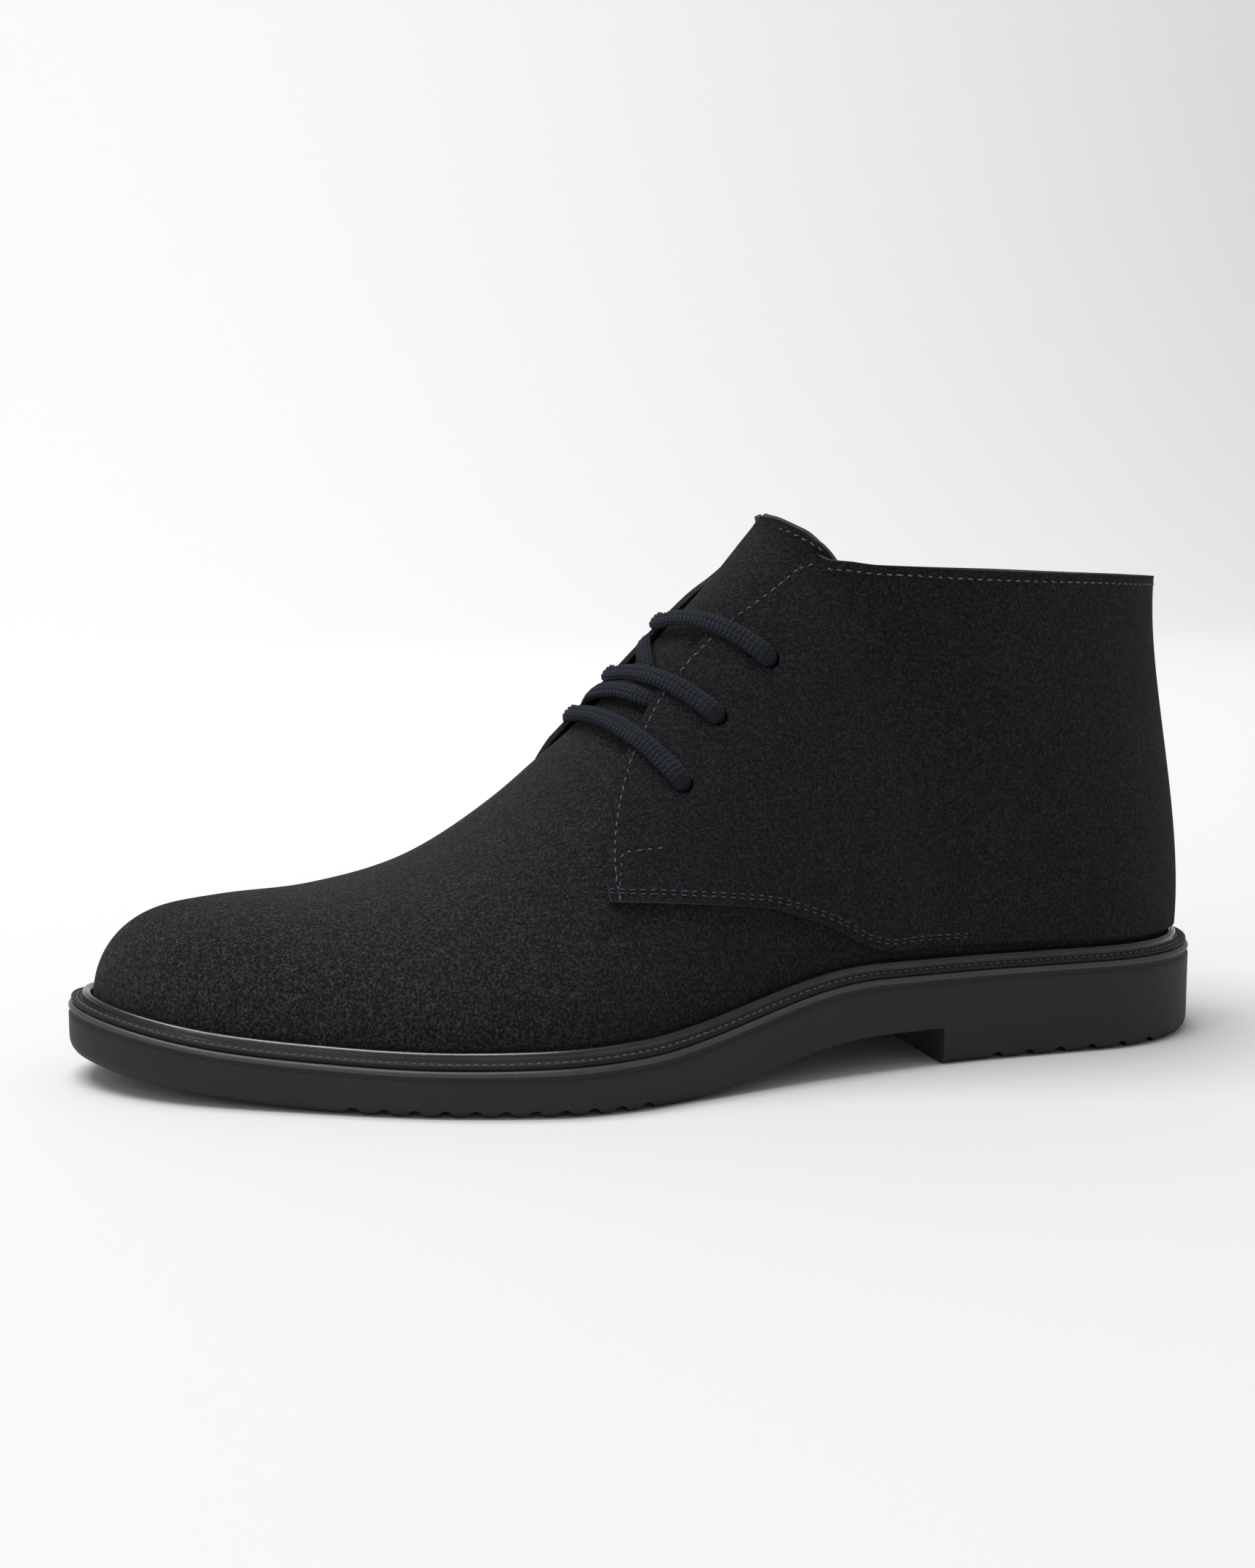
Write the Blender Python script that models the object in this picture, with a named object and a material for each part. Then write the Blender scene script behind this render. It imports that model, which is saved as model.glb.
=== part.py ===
"""Chukka boot, left foot: a suede ankle boot with three eyelet pairs on a welted rubber sole.
Sizes are millimetres until to_metres. X is the outer (lateral) side, Y runs from toe to heel, Z is up.
A station is the distance from the toe tip, and the floor is Z = 0."""

import bpy
import numpy as np

for old in list(bpy.data.objects):
    bpy.data.objects.remove(old, do_unlink=True)

# Driving sizes
LENGTH = 305.0          # sole, toe tip to heel
CENTRE = 7.7            # the sole's bounding box is centred on X = 0
TOE_ROUND, HEEL_ROUND = 80.0, 42.0
TOE_SPRING, TOE_LIFT_FROM = 7.3, 75.0
ARCH_RISE, ARCH_FROM, ARCH_TO, HEEL_BREAST = 9.9, 135.0, 200.0, 218.0
LIP = 1.2               # rounded top rim of the sole wall
WELT = 1.3              # welt strip
BEAD = 2.2              # storm bead that stands on the welt against the upper
LEDGE = 3.5             # welt ledge outside the bead
FOOT_INSET = 6.1        # upper's foot, in from the sole's edge
GAP = 0.3
WALL = 1.6              # upper's wall
QUARTER = 1.3           # quarter leather that lies on the upper
QUARTER_GAP = 0.65      # facets of two curved sheets need a little more than GAP
EYELET = 2.6            # radius of a punched eyelet
LACE_W, LACE_T = 4.4, 2.5
OVAL_MID, OVAL_HALF, OVAL_SIDE = 235.0, 56.0, 32.5   # the collar's oval


def smooth(stations, values, at):
    """A cubic through the stations, with three-point slopes."""
    xs, ys = np.asarray(stations, float), np.asarray(values, float)
    step = np.diff(xs)
    wide = step if ys.ndim == 1 else step[:, None]
    slope = np.diff(ys, axis=0) / wide
    m = np.empty_like(ys)
    m[0], m[-1] = slope[0], slope[-1]
    w = wide[1:] / (wide[:-1] + wide[1:])
    m[1:-1] = slope[:-1] * w + slope[1:] * (1 - w)
    at = np.clip(np.asarray(at, float), xs[0], xs[-1])
    i = np.clip(np.searchsorted(xs, at, side="right") - 1, 0, len(xs) - 2)
    t, h = (at - xs[i]) / step[i], step[i]
    if ys.ndim > 1:
        t, h = t[..., None], h[..., None]
    return ((2 * t**3 - 3 * t**2 + 1) * ys[i] + (t**3 - 2 * t**2 + t) * h * m[i]
            + (3 * t**2 - 2 * t**3) * ys[i + 1] + (t**3 - t**2) * h * m[i + 1])


# Sole plan: the axis (station, x) and the reach from it to the outer and the inner edge (station, mm).
AXIS = np.array([(0, -6), (60, -1.5), (120, 2.7), (145, 4.2), (180, 3.7), (240, 1.8), (305, 1)], float)
OUTER = np.array([(0, 46.8), (25, 46.7), (40, 47.3), (55, 49.4), (70, 53.1), (85, 57.4), (100, 60.5), (115, 61.9),
                  (130, 59.6), (145, 54.3), (160, 49.6), (180, 44.4), (200, 40.8), (220, 38.3), (250, 36.9),
                  (305, 36)], float)
INNER = np.array([(0, 38), (20, 39.5), (40, 43), (60, 45.8), (80, 48.3), (100, 49), (120, 47.7), (140, 45),
                  (160, 41.5), (180, 39), (200, 37.5), (220, 36.9), (250, 36.6), (305, 36)], float)
SIDE_WALL = np.array([(0, 11.2), (30, 10.4), (60, 10.5), (90, 10.2), (120, 10.8), (150, 12.4), (180, 13),
                      (210, 12.8), (305, 12.8)], float)


def station_of(u):
    return LENGTH * (1 - np.cos(np.pi * u)) / 2


def sole_edge(u, side, inset=0.0):
    """Plan point of the sole's edge at u (0 toe, 1 heel) on one side, moved in by inset, and its outward normal."""
    u = np.asarray(u, float)

    def raw(u):
        a = station_of(u)
        table, power = (OUTER, 1.9) if side > 0 else (INNER, 2.3)
        end = np.ones_like(a)
        toe, heel = a < TOE_ROUND, a > LENGTH - HEEL_ROUND
        end[toe] = (1 - (1 - a[toe] / TOE_ROUND) ** power) ** (1 / power)
        end[heel] = np.maximum(1 - ((a[heel] - LENGTH + HEEL_ROUND) / HEEL_ROUND) ** 2.1, 0) ** (1 / 2.1)
        return smooth(AXIS[:, 0], AXIS[:, 1], a) + side * end * smooth(table[:, 0], table[:, 1], a), a

    x, a = raw(u)
    x1, a1 = raw(np.minimum(u + 1e-3, 1))
    x0, a0 = raw(np.maximum(u - 1e-3, 0))
    tx, ta = x1 - x0, a1 - a0
    tip, tail = u < 1e-6, u > 1 - 1e-6
    tx = np.where(tip, side, np.where(tail, -side, tx))
    ta = np.where(tip | tail, 0, ta)
    size = np.hypot(tx, ta)
    nx, na = side * ta / size, -side * tx / size
    return x - nx * inset - CENTRE, a - na * inset, nx, na


def toe_lift(a):
    return TOE_SPRING * np.clip((TOE_LIFT_FROM - a) / TOE_LIFT_FROM, 0, 1) ** 2


def arch(a):
    s = np.clip((a - ARCH_FROM) / (ARCH_TO - ARCH_FROM), 0, 1)
    return ARCH_RISE * s * s * (3 - 2 * s)


def sole_top(a):
    """Height of the sole's top edge."""
    return toe_lift(a) + arch(a) + smooth(SIDE_WALL[:, 0], SIDE_WALL[:, 1], a) + LIP


# Upper: a rib runs from each point of the foot line to the ridge, or behind the front corner to the collar's oval.
# Ridge: foot station; station and height of the rib's head.
RIDGE = np.array([(5.9, 32, 44.3), (30, 45, 45), (60, 64, 46.3), (90, 88, 53.5), (115, 107, 65.5), (140, 123.5, 79.5),
                  (160, 140, 96), (178, 154, 111), (195, 167.5, 126), (210, 179, 140.5)], float)
# Collar: foot station; angle round the oval, 0 at the front; height.
COLLAR = np.array([(210, 0, 140.5), (217, 14, 140.2), (224, 27, 137.6), (232, 38, 133), (240, 49, 129.6), (254, 68, 128),
                   (270, 92, 126.8), (284, 118, 126), (292, 142, 125.3), (296.5, 160, 125), (299.1, 180, 124.8)], float)
CREST = np.array([(5.9, -5.5), (32, -5), (60, -5), (90, -6), (120, -5.5), (150, -2.5), (181, 0), (200, 0.8),
                  (305, 1.2)], float)
# Rib shape: foot station; rise and swell at the foot; reach at the head; how far it has turned down; turn round the
# toe; backward lean of the turn.
SHAPE = np.array([(5.9, 14, -0.5, 15, 0, 0, 0), (12, 14, 0, 17, 0, 35, 0), (30, 15, 1, 26, 0, 72, 0),
                  (60, 17, 2, 33, 0, 90, 0), (90, 20, 3, 36, 3, 90, 20), (115, 24, 3, 34, 4, 90, 35),
                  (140, 32, 2, 32, 4, 90, 48), (160, 38, 1, 31, 4, 90, 50), (178, 42, 1, 31, 4, 90, 50),
                  (195, 46, 1.5, 30, 5, 90, 50), (210, 48, 2, 28, 14, 90, 50), (217, 48, 2, 24, 34, 90, 48),
                  (224, 48, 2.4, 22, 54, 90, 44), (232, 46, 2.7, 24, 66, 90, 38), (240, 44, 3, 26, 74, 90, 32),
                  (254, 40, 3.4, 30, 84, 90, 18), (270, 36, 3.5, 30, 90, 90, 8), (285, 34, 3.2, 30, 90, 90, 0),
                  (294, 34, 3, 28, 90, 90, -4), (299.1, 34, 2.8, 26, 90, 90, -5)], float)
FRONT = 210.0           # foot station of the rib that ends at the shaft's front corner


def upper_point(u, v, side):
    """Point of the upper's outer face: u 0 toe to 1 heel, v 0 at the foot to 1 at the ridge or collar."""
    u, v = np.asarray(u, float), np.asarray(v, float)
    x, a, nx, na = sole_edge(u, side, FOOT_INSET)
    foot = np.stack([x, a, sole_top(a) + WELT + 2 * GAP], -1)
    m = 5.9 + (299.1 - 5.9) * station_of(u) / LENGTH
    ridge = smooth(RIDGE[:, 0], RIDGE[:, 1:], m)
    oval = smooth(COLLAR[:, 0], COLLAR[:, 1:], m)
    turn = np.radians(np.where(m > FRONT, np.maximum(oval[..., 0], 0), 0))
    behind = m > FRONT
    ha = np.where(behind, OVAL_MID - OVAL_HALF * np.cos(turn), ridge[..., 0])
    hz = np.where(behind, oval[..., 1], ridge[..., 1])
    hx = smooth(CREST[:, 0], CREST[:, 1], ha) - CENTRE + side * OVAL_SIDE * np.sin(turn)
    head = np.stack([hx, ha, hz], -1)
    rise, swell, reach, drop, fan, lean = np.moveaxis(smooth(SHAPE[:, 0], SHAPE[:, 1:], m), -1, 0)
    drop, fan, lean = np.radians(drop)[..., None], np.radians(fan), np.radians(lean)
    out = np.stack([nx, na, 0 * nx], -1)
    sideways = np.stack([side * np.sin(fan), -np.cos(fan), 0 * fan], -1)
    down = np.stack([0 * lean, np.sin(lean), -np.cos(lean)], -1)
    near = foot + out * swell[..., None] + np.array([0, 0, 1.0]) * rise[..., None]
    far = head + reach[..., None] * (np.cos(drop) * sideways + np.sin(drop) * down)
    t = v[..., None]
    return (1 - t) ** 3 * foot + 3 * (1 - t) ** 2 * t * near + 3 * (1 - t) * t * t * far + t**3 * head


def normal_at(u, v, side):
    d = 2e-3
    du = upper_point(min(u + d, 1), v, side) - upper_point(max(u - d, 0), v, side)
    dv = upper_point(u, min(v + d, 1), side) - upper_point(u, max(v - d, 0), side)
    n = side * np.cross(du, dv)
    return n / np.linalg.norm(n)


# Meshes
def weld(points, faces, within=1e-3):
    points = np.asarray(points, float)
    _, first, index = np.unique(np.round(points / within).astype(np.int64), axis=0, return_index=True,
                                return_inverse=True)
    index = index.reshape(-1)
    kept = []
    for face in faces:
        face = [int(index[i]) for i in face]
        face = [p for k, p in enumerate(face) if p != face[k - 1]]
        if len(face) > 2:
            kept.append(face)
    return points[first], kept


def grid_faces(rows, columns, start, flip):
    faces = []
    for i in range(rows - 1):
        for j in range(columns - 1):
            a, b = start + i * columns + j, start + (i + 1) * columns + j
            faces.append([a, a + 1, b + 1, b] if flip else [a, b, b + 1, a + 1])
    return faces


def two_sided(grids):
    """One sheet from {side: grid of points}, facing out."""
    points, faces = [], []
    for side, grid in grids.items():
        faces += grid_faces(grid.shape[0], grid.shape[1], len(points), side < 0)
        points += list(grid.reshape(-1, 3))
    return weld(points, faces)


def vertex_normals(points, faces):
    normals = np.zeros_like(points)
    for face in faces:
        p = points[face]
        n = sum(np.cross(p[k] - p[0], p[k + 1] - p[0]) for k in range(1, len(face) - 1))
        normals[face] += n
    return normals / np.linalg.norm(normals, axis=1)[:, None]


def thicken(points, faces, low, high, level_foot=False):
    """A closed solid between two offsets of a sheet."""
    normals = vertex_normals(points, faces)
    if level_foot:
        foot = level_foot(points)
        normals[foot, 2] = 0
        normals /= np.linalg.norm(normals, axis=1)[:, None]
    count = len(points)
    solid = np.concatenate([points + normals * high, points + normals * low])
    sides = {}
    for face in faces:
        for k, p in enumerate(face):
            sides[(face[k - 1], p)] = True
    closed = [list(f) for f in faces] + [[i + count for i in reversed(f)] for f in faces]
    closed += [[q, p, p + count, q + count] for p, q in sides if (q, p) not in sides]
    return solid, closed


def to_metres(points):
    return (np.asarray(points) - [0, LENGTH / 2, 0]) / 1000


def make(name, points, faces, colour, rough=0.8, helper=False):
    mesh = bpy.data.meshes.new(name)
    mesh.from_pydata([tuple(p) for p in to_metres(points)], [], faces)
    mesh.update()
    obj = bpy.data.objects.new(name, mesh)
    bpy.context.scene.collection.objects.link(obj)
    if helper:
        obj.hide_render = True
        obj.display_type = "WIRE"
        return obj
    material = bpy.data.materials.new(name)
    material.use_nodes = True
    shader = material.node_tree.nodes["Principled BSDF"]
    shader.inputs["Base Color"].default_value = (*colour, 1)
    shader.inputs["Roughness"].default_value = rough
    mesh.materials.append(material)
    return obj


def cut(obj, cutter):
    modifier = obj.modifiers.new(cutter.name, "BOOLEAN")
    modifier.operation, modifier.solver, modifier.object = "DIFFERENCE", "EXACT", cutter


def ring(inset, rise, steps):
    """Points round the sole at an inset, at a height given by the station: outer side toe to heel, then back."""
    u = np.linspace(0, 1, steps)
    points = []
    for side, order in ((1, slice(None)), (-1, slice(steps - 2, 0, -1))):
        x, a, _, _ = sole_edge(u, side, inset)
        points.append(np.stack([x, a, rise(a)], -1)[order])
    return np.concatenate(points)


def band(rings, closed=False):
    count = len(rings[0])
    faces = []
    for r in range(len(rings) - (not closed)):
        low, high = r * count, (r + 1) % len(rings) * count
        faces += [[low + k, low + (k + 1) % count, high + (k + 1) % count, high + k] for k in range(count)]
    return faces


def ladder(start, count, up):
    """Cap of a ring, laid across from side to side."""
    faces = []
    half = count // 2
    for k in range(half):
        a, b = k, k + 1
        c, d = (count - k - 1) % count, (count - k) % count
        face = [start + p for p in (a, b, c, d)]
        face = [p for n, p in enumerate(face) if p != face[n - 1]]
        faces.append(face if up else face[::-1])
    return faces


def prism(profile, half_width):
    """A closed bar along X from a profile of (station, height), drawn so that it faces out."""
    profile = np.asarray(profile, float)
    n = len(profile)
    points = [(x, a, z) for x in (-half_width, half_width) for a, z in profile]
    faces = [[n + k, n + (k + 1) % n, (k + 1) % n, k] for k in range(n)]
    return points, faces + [list(range(n)), [n + k for k in range(n)][::-1]]


# Outsole: one moulding with a toe spring, an arch, a low heel, a rounded lip and a platform inside the welt
steps = 35
sole_rings = [ring(inset, rise, steps) for inset, rise in (
    (3.0, toe_lift), (0.9, lambda a: toe_lift(a) + 1.1), (0, lambda a: toe_lift(a) + 3.6),
    (0, lambda a: sole_top(a) - 0.7), (0.6, sole_top), (11.6, sole_top), (11.6, lambda a: sole_top(a) + GAP + WELT))]
count = len(sole_rings[0])
outsole = make("outsole", np.concatenate(sole_rings),
               band(sole_rings) + ladder(0, count, False) + ladder(6 * count, count, True), (0.035, 0.037, 0.035))
stations = np.append(np.arange(140, HEEL_BREAST, 8.5), HEEL_BREAST)
arch_cut = make("arch_cut", *prism([(140, -8)] + [(a, float(arch(a))) for a in stations] + [(HEEL_BREAST, -8)],
                                   80), (0, 0, 0), helper=True)
cut(outsole, arch_cut)
# Tread: arch-topped grooves right across the forefoot and the heel
GROOVE = ((-1.9, -3), (-1.6, 0.6), (-0.7, 1.2), (0.7, 1.2), (1.6, 0.6), (1.9, -3))
bars, bar_faces = [], []
for a in np.append(64 + 6.87 * np.arange(11), 234 + 9.3 * np.arange(6)):
    points, faces = prism([(a + da, float(toe_lift(np.array(a))) + dz) for da, dz in GROOVE], 80)
    bar_faces += [[len(bars) + i for i in f] for f in faces]
    bars += points
cut(outsole, make("tread_cut", bars, bar_faces, (0, 0, 0), helper=True))

# Welt: a strip round the whole sole with a half-round bead against the upper
welt_profile = ((0.3, GAP), (0, GAP + 0.5), (0.3, GAP + WELT), (LEDGE, GAP + WELT), (LEDGE + 0.1, WELT + 1.6),
                (LEDGE + 0.7, WELT + GAP + BEAD), (LEDGE + 1.4, WELT + GAP + BEAD), (LEDGE + 2.1, WELT + 1.6),
                (LEDGE + 2.1, GAP + WELT), (11.3, GAP + WELT), (11.3, GAP))
welt_rings = [ring(inset, (lambda a, dz=dz: sole_top(a) + dz), steps) for inset, dz in welt_profile]
make("welt", np.concatenate(welt_rings), band(welt_rings, closed=True), (0.02, 0.021, 0.022), 0.4)

# Insole: the footbed plate inside the upper
inset = FOOT_INSET + WALL + 0.9
bed = [ring(inset, (lambda a, dz=dz: sole_top(a) + dz), steps) for dz in (WELT + 2 * GAP + 0.1, WELT + 2 * GAP + 3)]
count = len(bed[0])
make("insole", np.concatenate(bed), band(bed) + ladder(0, count, False) + ladder(count, count, True),
     (0.35, 0.2, 0.11))

# Edges on the upper, as (u, v)
# front and top edge of a quarter, from its lower corner up the throat and back along the collar. The inner
# quarter is drawn closer to the ridge.
FACING = np.array([(0.499, 0.693), (0.515, 0.74), (0.527, 0.77), (0.543, 0.79), (0.565, 0.797), (0.585, 0.79),
                   (0.6, 0.777), (0.615, 0.767), (0.63, 0.775), (0.645, 0.81), (0.66, 0.868), (0.68, 0.938),
                   (0.7, 0.99), (0.72, 1), (0.8, 1), (0.9, 1), (1, 1)])
INNER_FACING = np.array([(0.499, 0.86), (0.515, 0.885), (0.527, 0.89), (0.543, 0.893), (0.565, 0.893), (0.585, 0.887),
                         (0.6, 0.87), (0.615, 0.84), (0.63, 0.822), (0.645, 0.835), (0.66, 0.878), (0.68, 0.94),
                         (0.7, 0.99), (0.72, 1), (0.8, 1), (0.9, 1), (1, 1)])
# lower edge of a quarter, from the same corner down to the welt and round the heel
LOWER = np.array([(0.458, 0.39), (0.478, 0.34), (0.503, 0.273), (0.525, 0.22), (0.543, 0.18), (0.557, 0.143),
                  (0.57, 0.11), (0.582, 0.08), (0.593, 0.052), (0.605, 0.036), (0.63, 0.034), (0.7, 0.034), (0.8, 0.034),
                  (0.9, 0.034), (1, 0.034)])
# a quarter's own lines, as u at its top edge and u at its lower edge
COLUMNS = ((0.499, 0.458), (0.509, 0.478), (0.527, 0.503), (0.545, 0.525), (0.565, 0.543), (0.585, 0.563), (0.6, 0.582),
           (0.615, 0.6), (0.63, 0.618), (0.645, 0.636), (0.66, 0.655), (0.68, 0.678), (0.7, 0.7), (0.72, 0.72),
           (0.75, 0.75), (0.785, 0.785), (0.825, 0.825), (0.865, 0.865), (0.905, 0.905), (0.945, 0.945), (0.975, 0.975),
           (1, 1))
# throat of the wall itself, hidden a little way under the quarters
THROAT = np.array([(0.476, 1), (0.484, 0.87), (0.495, 0.77), (0.51, 0.715), (0.527, 0.72), (0.543, 0.745), (0.565, 0.752),
                   (0.585, 0.745), (0.6, 0.73), (0.615, 0.718), (0.63, 0.722), (0.645, 0.75), (0.66, 0.81),
                   (0.68, 0.905), (0.7, 0.98), (0.72, 1), (1, 1)])
INNER_FORWARD = 0.016   # the inner quarter sits this much further forward at the throat


def forward(u, side):
    """How far the inner side's edges lie ahead of the outer side's."""
    return np.where(side < 0, INNER_FORWARD * np.clip((0.72 - u) / 0.1, 0, 1), 0) * np.clip((u - 0.3) / 0.1, 0, 1)


# Upper: one hollow wall, open at the collar, the throat and underneath
LINES = np.array([0, 0.045, 0.09, 0.135, 0.18, 0.225, 0.27, 0.312, 0.352, 0.39, 0.425, 0.452, 0.476, 0.484, 0.495, 0.51,
                  0.527, 0.545, 0.565, 0.585, 0.6, 0.615, 0.63, 0.645, 0.66, 0.68, 0.7, 0.72, 0.75, 0.785, 0.825,
                  0.865, 0.905, 0.945, 0.975, 1])
ROWS = 14
grids = {}
for side in (1, -1):
    top = np.where(LINES < 0.476, 1, np.interp(LINES, THROAT[:, 0], THROAT[:, 1]))
    u = LINES - forward(LINES, side) * (LINES > 0.476)
    grids[side] = np.array([upper_point(np.full(ROWS, uu), np.linspace(0, t, ROWS), side) for uu, t in zip(u, top)])


def on_foot(points):
    return points[:, 2] < sole_top(points[:, 1]) + WELT + 2 * GAP + 0.05


upper = make("upper", *thicken(*two_sided(grids), -WALL, 0, level_foot=on_foot), (0.03, 0.03, 0.036), 0.95)


# Quarters: the two rear panels that lie on the upper, meet at the heel and carry the eyelets
def quarter_sheet(side, rows=14):
    grid = []
    for k, (top_u, low_u) in enumerate(COLUMNS):
        facing = FACING if side > 0 else INNER_FACING
        top_v = np.interp(top_u, facing[:, 0], facing[:, 1])
        low_v = np.interp(low_u, LOWER[:, 0], LOWER[:, 1])
        q = np.linspace(0, 1, rows)
        bow = 0.03 * q * (1 - q) * max(0, 1 - k / 4)
        u = np.minimum(low_u + (top_u - low_u) * q - bow, 0.9988)
        grid.append(upper_point(u - forward(u, side), low_v + (top_v - low_v) * q, side))
    return two_sided({side: np.array(grid)})


quarters = {}
for side, name in ((1, "quarter_outer"), (-1, "quarter_inner")):
    low = QUARTER_GAP if side > 0 else QUARTER_GAP + 0.2
    quarters[side] = make(name, *thicken(*quarter_sheet(side), low, low + QUARTER), (0.03, 0.03, 0.036), 0.95)

# Tongue: a blade under the throat, from inside the vamp to above the collar
TONGUE_LINES = np.array([0.452, 0.476, 0.495, 0.51, 0.527, 0.545, 0.565, 0.585, 0.6, 0.615, 0.63, 0.645, 0.66, 0.68])
TONGUE_EDGE = np.array([(0.452, 0.8), (0.476, 0.71), (0.51, 0.65), (0.565, 0.64), (0.6, 0.63), (0.64, 0.64),
                        (0.66, 0.7), (0.68, 0.8)])
tongue = {}
for side in (1, -1):
    low = np.interp(TONGUE_LINES, TONGUE_EDGE[:, 0], TONGUE_EDGE[:, 1])
    tongue[side] = np.array([upper_point(np.full(8, uu), np.linspace(t, 1, 8), side) for uu, t in zip(TONGUE_LINES, low)])
points, faces = two_sided(tongue)
make("tongue", *thicken(points, faces, -WALL - 0.8 - 1.6, -WALL - 0.8), (0.03, 0.03, 0.036), 0.95)

# Eyelets: three plain punched pairs, through the quarters and the wall
EYELETS = ((0.518, 0.527), (0.550, 0.603), (0.588, 0.627))
CROSSING = (0.496, 0.522, 0.558)      # where each lace bar crosses the ridge


def tube(path, wide, thick, across, sides=8):
    """A closed bar of oval section along a path. across gives the direction of its width at each point."""
    path = np.asarray(path)
    along = np.gradient(path, axis=0)
    along /= np.linalg.norm(along, axis=1)[:, None]
    angle = np.linspace(0, 2 * np.pi, sides, endpoint=False)
    points, faces = [], []
    for p, t, w in zip(path, along, across):
        w = w - t * np.dot(w, t)
        w = w / np.linalg.norm(w)
        h = np.cross(t, w)
        points += [p + wide / 2 * np.cos(s) * w + thick / 2 * np.sin(s) * h for s in angle]
    n = len(path)
    for i in range(n - 1):
        faces += [[i * sides + k, i * sides + (k + 1) % sides, (i + 1) * sides + (k + 1) % sides, (i + 1) * sides + k]
                  for k in range(sides)]
    return points, faces + [list(range(sides))[::-1], [(n - 1) * sides + k for k in range(sides)]]


holes, hole_faces = [], []
eyes = {}
for side in (1, -1):
    for u, v in EYELETS:
        u = float(u - forward(np.array(u), side))
        centre, n = upper_point(u, v, side), normal_at(u, v, side)
        eyes[side, v] = (centre, n, u)
        w = np.array([0, 1.0, 0])
        path = [centre - 5 * n, centre + 5 * n]
        points, faces = tube(path, 2 * EYELET, 2 * EYELET, [w, w], 10)
        hole_faces += [[len(holes) + i for i in f] for f in faces]
        holes += points
punch = make("punch", holes, hole_faces, (0, 0, 0), helper=True)
for obj in (upper, quarters[1], quarters[-1]):
    cut(obj, punch)

# Lace: three straight bars over the throat, each end turned down into its eyelets
for number, ((u, v), middle) in enumerate(zip(EYELETS, CROSSING), 1):
    path, across = [], []
    lift = QUARTER_GAP + QUARTER + 0.75 + LACE_T / 2
    outer, inner = eyes[1, v], eyes[-1, v]
    spots = [(1, s) for s in np.linspace(0, 1, 6)] + [(-1, s) for s in np.linspace(1, 0, 6)[1:]]
    for side, s in spots:
        uu = eyes[side, v][2] * (1 - s) + middle * s
        vv = v * (1 - s) + s
        n = normal_at(uu, min(vv, 0.995), side)
        path.append(upper_point(uu, vv, side) + n * (lift - 0.2 * np.sin(np.pi * s / 2) ** 2))
    path = np.array(path)
    for side, at in ((1, 0), (-1, len(path) - 1)):
        centre, n, _ = eyes[side, v]
        path[at] = centre + n * (lift - 0.2)
    legs = [eyes[1, v][0] + eyes[1, v][1] * 0.2], [eyes[-1, v][0] + eyes[-1, v][1] * 0.2]
    path = np.concatenate([legs[0], path, legs[1]])
    chord = path[2] - path[-3]
    ridge = np.cross(chord, eyes[1, v][1] + eyes[-1, v][1])
    make(f"lace_bar_{number}", *tube(path, LACE_W, LACE_T, [ridge] * len(path)), (0.012, 0.014, 0.03), 0.9)
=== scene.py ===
import bpy
import math
import numpy as np
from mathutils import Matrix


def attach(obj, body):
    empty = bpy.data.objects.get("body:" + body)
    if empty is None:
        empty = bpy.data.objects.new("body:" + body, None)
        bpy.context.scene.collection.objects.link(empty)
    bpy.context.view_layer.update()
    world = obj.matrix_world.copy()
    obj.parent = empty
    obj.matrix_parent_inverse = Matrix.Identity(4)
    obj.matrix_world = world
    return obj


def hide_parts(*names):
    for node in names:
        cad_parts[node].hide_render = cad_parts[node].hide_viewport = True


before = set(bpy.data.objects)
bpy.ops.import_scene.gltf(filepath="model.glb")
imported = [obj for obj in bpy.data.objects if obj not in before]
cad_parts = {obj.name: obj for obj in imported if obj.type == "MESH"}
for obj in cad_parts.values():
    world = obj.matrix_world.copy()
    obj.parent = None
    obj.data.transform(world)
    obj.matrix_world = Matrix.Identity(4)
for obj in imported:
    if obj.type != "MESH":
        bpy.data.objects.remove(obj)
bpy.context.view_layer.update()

# Studio: a plain pale floor that curves up behind, and large soft lights overhead and in front.
# The camera stands low on the boot's outer side, a little ahead of the ankle.
scene = bpy.context.scene
scene.view_settings.view_transform = "Standard"
camera_data = bpy.data.cameras.new("camera")
camera_data.sensor_fit = "HORIZONTAL"
camera_data.sensor_width, camera_data.lens = 36.0, 61.0
camera_data.clip_start = 0.01
camera = bpy.data.objects.new("camera", camera_data)
scene.collection.objects.link(camera)
camera.location = (0.5298, -0.1537, 0.1400)
aim = np.array([-0.0101, -0.0075, 0.0705]) - camera.location
camera.rotation_euler = (math.pi / 2 + math.atan2(aim[2], math.hypot(aim[0], aim[1])), 0,
                         math.atan2(-aim[0], aim[1]))
scene.camera = camera


class Value:
    """A socket that takes part in sums."""

    def __init__(self, sheet, socket):
        self.sheet, self.socket = sheet, socket

    def maths(self, operation, first, second):
        return self.sheet.node("ShaderNodeMath", {"operation": operation}, {0: first, 1: second})

    def __add__(self, other):
        return self.maths("ADD", self, other)

    def __mul__(self, other):
        return self.maths("MULTIPLY", self, other)

    def __sub__(self, other):
        return self.maths("SUBTRACT", self, other)

    def __rsub__(self, other):
        return self.maths("SUBTRACT", other, self)

    __radd__, __rmul__ = __add__, __mul__

    def step(self, low, high):
        """0 at low to 1 at high, eased."""
        return self.sheet.node("ShaderNodeMapRange", {"interpolation_type": "SMOOTHSTEP"},
                               {"Value": self, "From Min": low, "From Max": high})


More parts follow.
